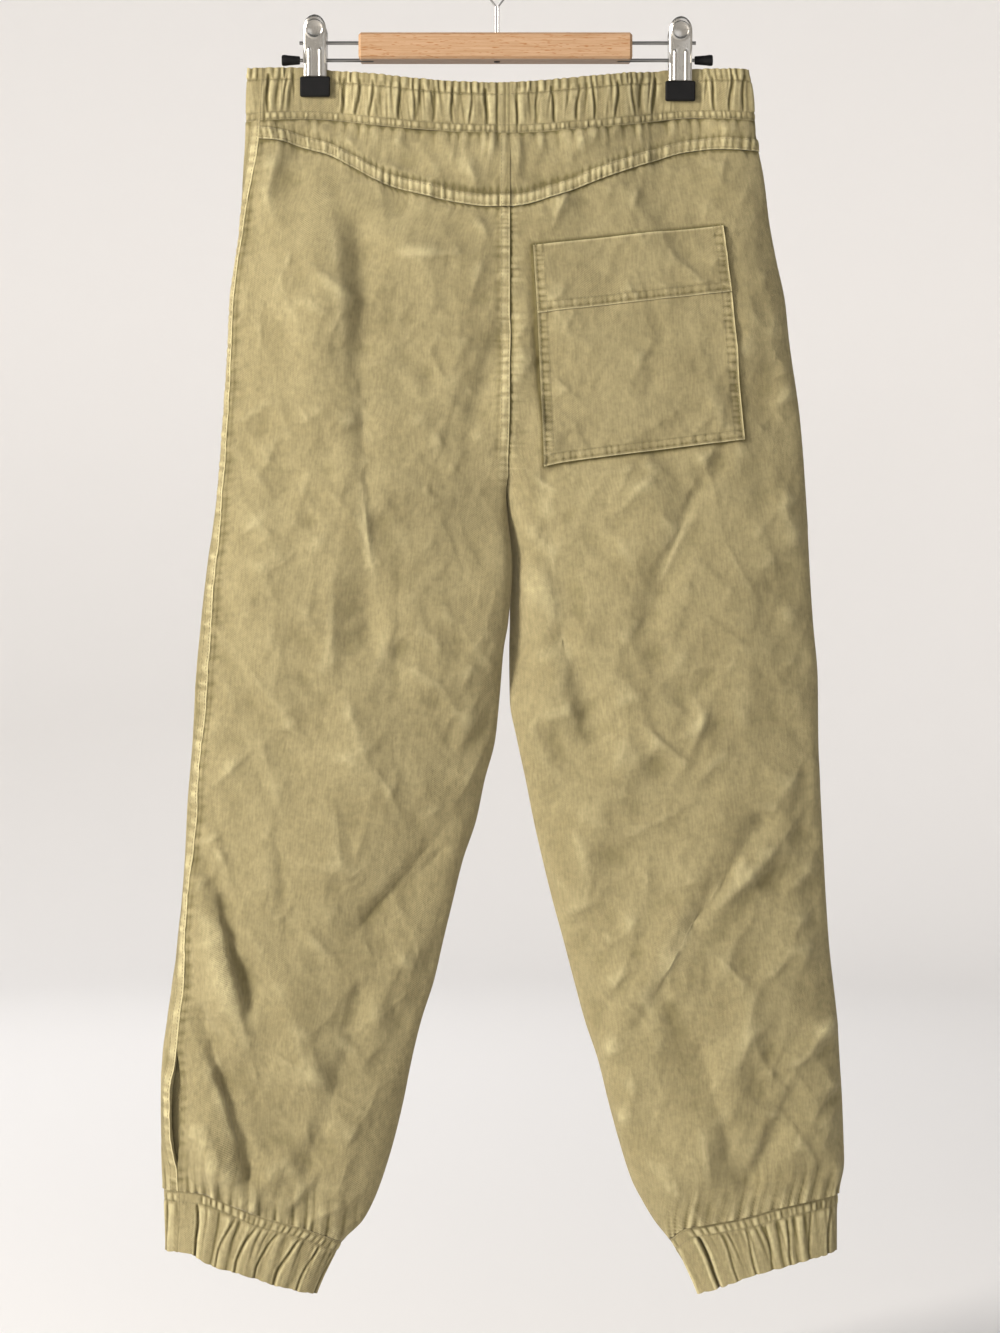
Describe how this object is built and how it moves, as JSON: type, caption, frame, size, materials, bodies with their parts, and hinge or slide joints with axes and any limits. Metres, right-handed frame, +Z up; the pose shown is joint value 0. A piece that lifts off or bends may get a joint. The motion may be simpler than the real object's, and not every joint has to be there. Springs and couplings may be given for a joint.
{
  "type": "cuffed elastic-waist trousers on a clip hanger",
  "caption": "Loose cotton twill trousers with a gathered elastic waist, back yoke, patch pocket and gathered ankle cuffs, hung by clips from a wooden hanger.",
  "frame": {"origin": "inner top of the closed hanging loop of the hanger, where it is held", "axes": "+Z up, +Y out of the front of the trousers and away from the viewer, +X towards the wearer's right, which is the viewer's right when looking at the back"},
  "size_m": [0.56, 0.0534, 1.1047],
  "materials": {
    "twill": "garment-dyed cotton twill, matt, khaki",
    "beech": "clear satin lacquer",
    "steel": "plated, polished",
    "rubber": "black, satin"
  },
  "bodies": {
    "root": {"waistband_back": "twill", "waistband_front": "twill", "yoke_left": "twill", "yoke_right": "twill", "back_left": "twill", "back_right": "twill", "front_left": "twill", "front_right": "twill", "back_pocket": "twill", "back_pocket_band": "twill", "cuff_left": "twill", "cuff_right": "twill", "slit_underlap_left": "twill", "slit_underlap_right": "twill", "hanger_bar": "beech", "hanger_stem": "steel", "wire_upper_left": "steel", "wire_upper_right": "steel", "wire_lower_left": "steel", "wire_lower_right": "steel", "clip_left_front_jaw": "steel", "clip_left_back_jaw": "steel", "clip_right_front_jaw": "steel", "clip_right_back_jaw": "steel", "wire_cap_left": "rubber", "wire_cap_right": "rubber", "clip_left_front_tip": "rubber", "clip_left_back_tip": "rubber", "clip_right_front_tip": "rubber", "clip_right_back_tip": "rubber"}
  },
  "joints": []
}
